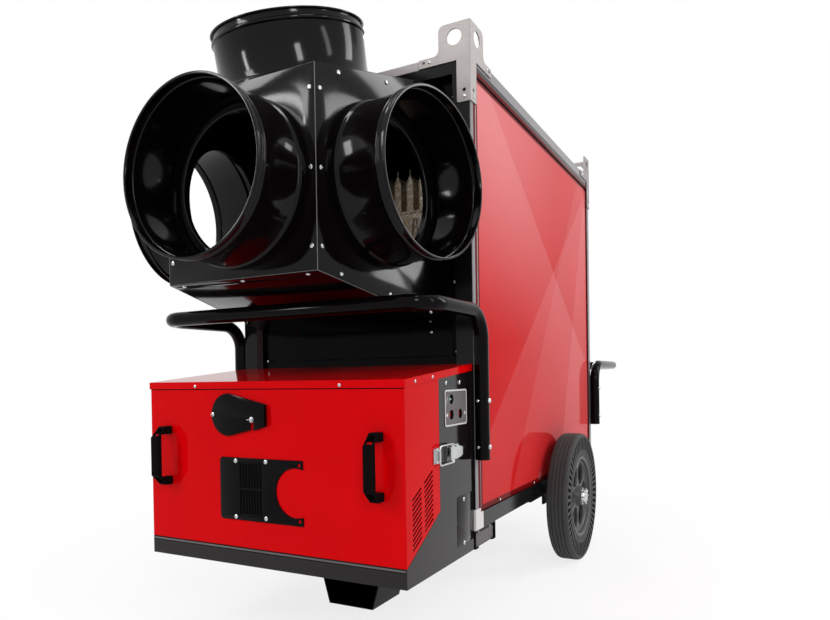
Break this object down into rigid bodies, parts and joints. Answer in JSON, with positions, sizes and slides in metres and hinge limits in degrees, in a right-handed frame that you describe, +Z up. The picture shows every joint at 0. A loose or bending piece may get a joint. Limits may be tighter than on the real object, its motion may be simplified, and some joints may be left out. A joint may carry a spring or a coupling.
{
  "type": "mobile heat generator",
  "caption": "Wheeled indirect-fired space heater: framed cabinet, round hot air outlets, burner under a sliding hood, rear fan, lifting lugs and tube handles",
  "frame": {"origin": "on the ground, under the middle of the whole machine's footprint, handles and outlet included", "axes": "+X to the machine's right as seen from its burner end, -Y towards the burner and the hot air outlets, +Y towards the fan and the rear handle, +Z up"},
  "size_m": [0.8926, 2.161, 1.474],
  "materials": {
    "frame_paint": "satin black over an aluminium profile, with bare aluminium edges",
    "red_paint": "high gloss red",
    "black_paint": "high gloss black",
    "stainless": "fine satin",
    "zinc": "bright zinc plate",
    "black_plastic": "fine texture",
    "label": "printed grey label, left without text",
    "knob_plastic": "grey green, semi gloss",
    "button_plastic": "red, semi gloss",
    "tyre": "plain solid rubber, fine texture",
    "rim_plastic": "satin black",
    "hot_steel": "heat tinted steel",
    "cast_aluminium": "cast, fine grain"
  },
  "bodies": {
    "chassis": {"cabinet_frame": "frame_paint", "side_panel_right": "red_paint", "side_panel_left": "red_paint", "top_panel": "black_paint", "floor_panel": "black_paint", "front_panel": "black_paint", "rear_panel": "black_paint", "lifting_lug_front_right": "stainless", "lifting_lug_front_left": "stainless", "lifting_lug_rear_right": "stainless", "lifting_lug_rear_left": "stainless", "plenum_box": "black_paint", "outlet_collar_front": "black_paint", "outlet_collar_right": "black_paint", "outlet_collar_left": "black_paint", "outlet_collar_top": "black_paint", "front_tube_handle": "black_paint", "rear_tube_handle": "black_paint", "burner_tray": "black_paint", "burner_side_right": "black_paint", "burner_side_left": "black_paint", "control_plate": "label", "switch_box": "black_plastic", "latch_base_right": "zinc", "latch_base_left": "zinc", "front_foot": "black_paint", "axle": "zinc", "axle_support": "black_paint", "combustion_chamber": "hot_steel", "chamber_cradle": "black_paint", "exchanger_bank": "hot_steel", "flue_pipe": "stainless", "burner_housing": "cast_aluminium", "burner_motor": "cast_aluminium", "fan_shroud": "stainless", "fan_motor": "cast_aluminium", "fan_guard": "zinc", "cable_gland": "black_plastic"},
    "burner_hood": {"hood": "red_paint", "hood_lid": "red_paint", "hood_handle_right": "black_plastic", "hood_handle_left": "black_plastic", "intake_plate": "black_paint", "flap_pivot": "zinc", "latch_keeper_right": "zinc", "latch_keeper_left": "zinc"},
    "flap": {"sight_flap": "black_paint"},
    "wheel_right": {"tyre_right": "tyre", "rim_right": "rim_plastic"},
    "wheel_left": {"tyre_left": "tyre", "rim_left": "rim_plastic"},
    "main_fan": {"axial_fan": "cast_aluminium"},
    "burner_wheel": {"burner_impeller": "cast_aluminium"},
    "lever_right": {"latch_lever_right": "zinc"},
    "lever_left": {"latch_lever_left": "zinc"},
    "loop_right": {"latch_loop_right": "zinc"},
    "loop_left": {"latch_loop_left": "zinc"},
    "knob": {"selector_knob": "knob_plastic"},
    "reset": {"reset_button": "button_plastic"},
    "stop": {"stop_button": "button_plastic"}
  },
  "joints": [
    {"name": "hood_slide", "type": "slide", "parent": "chassis", "child": "burner_hood", "axis": [0, -1, 0], "range_m": [0, 0.3]},
    {"name": "flap_swing", "type": "hinge", "parent": "burner_hood", "child": "flap", "pos_m": [-0.141, -0.8773, 0.514], "axis": [0, -1, 0], "range_deg": [0, 90]},
    {"name": "wheel_right_roll", "type": "hinge", "parent": "chassis", "child": "wheel_right", "pos_m": [0.401, 0.159, 0.2], "axis": [1, 0, 0], "continuous": true},
    {"name": "wheel_left_roll", "type": "hinge", "parent": "chassis", "child": "wheel_left", "pos_m": [-0.401, 0.159, 0.2], "axis": [1, 0, 0], "continuous": true},
    {"name": "main_fan_spin", "type": "hinge", "parent": "chassis", "child": "main_fan", "pos_m": [0, 0.58, 0.79], "axis": [0, 1, 0], "continuous": true},
    {"name": "burner_wheel_spin", "type": "hinge", "parent": "chassis", "child": "burner_wheel", "pos_m": [0, -0.7215, 0.455], "axis": [1, 0, 0], "continuous": true},
    {"name": "latch_right_open", "type": "hinge", "parent": "chassis", "child": "lever_right", "pos_m": [0.3507, -0.6785, 0.425], "axis": [0, 0, -1], "range_deg": [0, 120]},
    {"name": "latch_left_open", "type": "hinge", "parent": "chassis", "child": "lever_left", "pos_m": [-0.3507, -0.6785, 0.425], "axis": [0, 0, 1], "range_deg": [0, 120]},
    {"name": "loop_right_turn", "type": "hinge", "parent": "lever_right", "child": "loop_right", "pos_m": [0.3507, -0.6645, 0.425], "axis": [0, 0, 1], "range_deg": [0, 120]},
    {"name": "loop_left_turn", "type": "hinge", "parent": "lever_left", "child": "loop_left", "pos_m": [-0.3507, -0.6645, 0.425], "axis": [0, 0, -1], "range_deg": [0, 120]},
    {"name": "selector_turn", "type": "hinge", "parent": "chassis", "child": "knob", "pos_m": [0.3364, -0.6575, 0.541], "axis": [1, 0, 0], "range_deg": [0, 90]},
    {"name": "reset_press", "type": "slide", "parent": "chassis", "child": "reset", "axis": [-1, 0, 0], "range_m": [0, 0.003], "stiffness_N_per_m": 400},
    {"name": "stop_press", "type": "slide", "parent": "chassis", "child": "stop", "axis": [-1, 0, 0], "range_m": [0, 0.003], "stiffness_N_per_m": 400}
  ],
  "couplings": [
    {"joint": "loop_right_turn", "follows": "latch_right_open", "ratio": 1},
    {"joint": "loop_left_turn", "follows": "latch_left_open", "ratio": 1}
  ]
}
